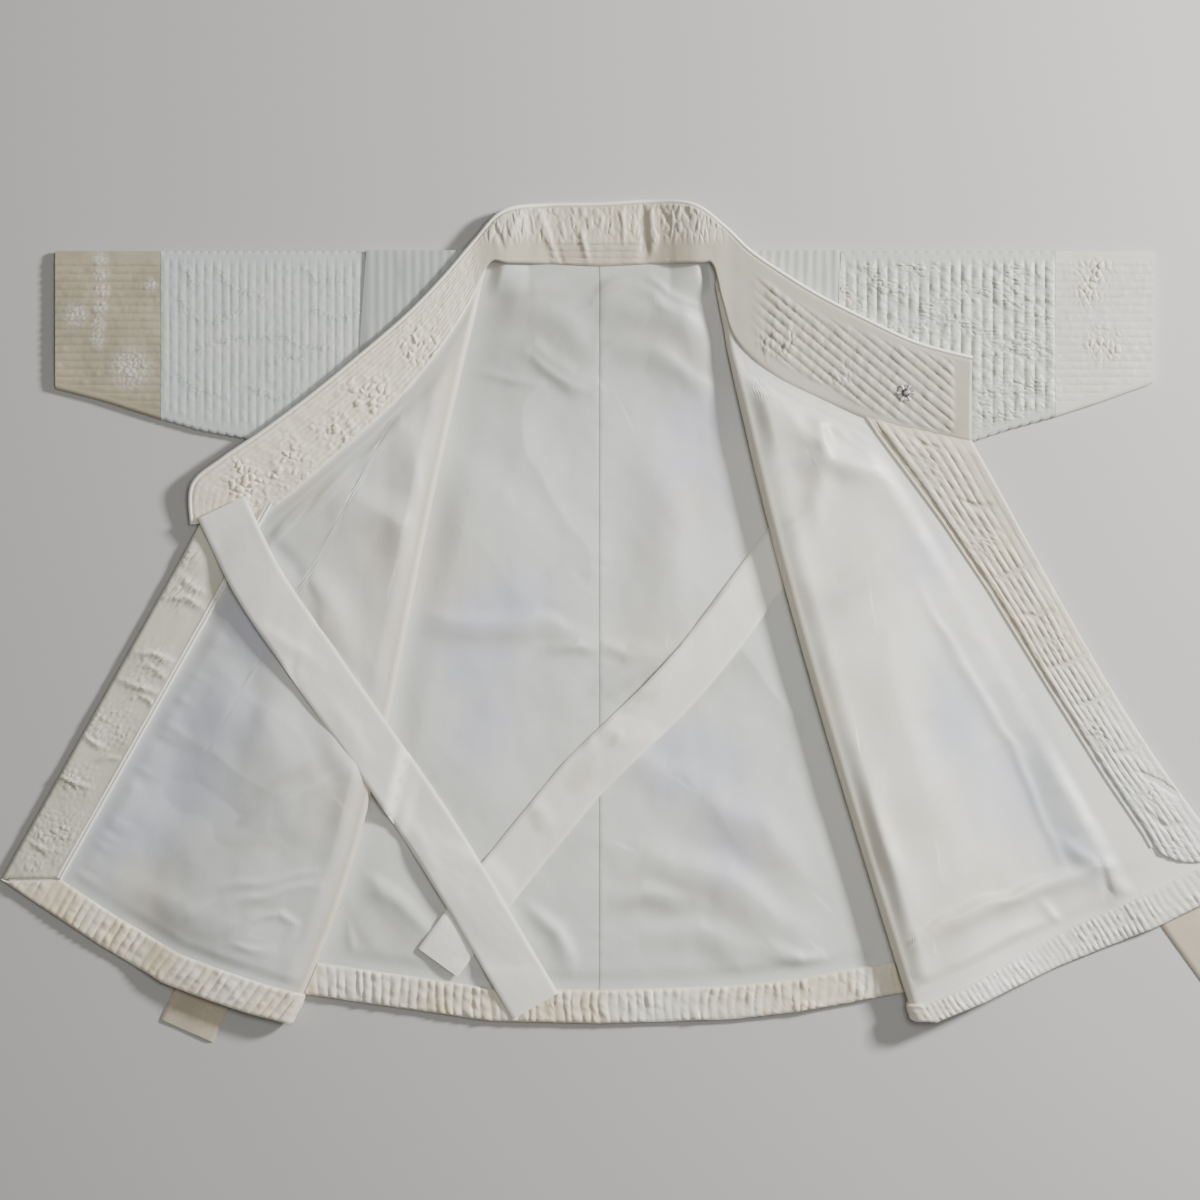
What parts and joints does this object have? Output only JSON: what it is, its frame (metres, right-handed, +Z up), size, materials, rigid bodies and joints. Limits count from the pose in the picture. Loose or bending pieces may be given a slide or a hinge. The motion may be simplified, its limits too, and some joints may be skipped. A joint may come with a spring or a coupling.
{
  "type": "quilted wrap jacket",
  "caption": "Small quilted wrap jacket laid open on its back, with its lining showing, cuffed sleeves, a banded collar, long ties and a press fastener",
  "frame": {"origin": "centre of the bounding box in plan, on the level of the surface that the jacket lies on", "axes": "+X toward the picture's right sleeve (the wearer's left), +Y from the hem toward the neck, +Z up from the surface"},
  "size_m": [0.978, 0.6588, 0.0216],
  "materials": {
    "outer_satin": "satin",
    "lining_satin": "satin",
    "cuff_satin": "satin",
    "tie_silk": "satin",
    "edge_white": "satin",
    "snap_metal": "brushed"
  },
  "bodies": {
    "root": {"back_left": "outer_satin", "back_right": "outer_satin", "lining_back_left": "lining_satin", "lining_back_right": "lining_satin", "front_left": "outer_satin", "front_right": "outer_satin", "lining_front_left": "lining_satin", "lining_front_right": "lining_satin", "facing_front_left": "outer_satin", "facing_front_right": "outer_satin", "piping_front_left": "edge_white", "piping_front_right": "edge_white", "hem_facing_left": "outer_satin", "hem_facing_right": "outer_satin", "hem_facing_back": "outer_satin", "sleeve_left": "outer_satin", "sleeve_right": "outer_satin", "cuff_left": "cuff_satin", "cuff_right": "cuff_satin", "collar": "outer_satin", "collar_edge": "edge_white", "tie_inner_left": "tie_silk", "tie_inner_right": "tie_silk", "tie_outer_left": "tie_silk", "tie_outer_right": "tie_silk", "snap": "snap_metal"}
  },
  "joints": []
}
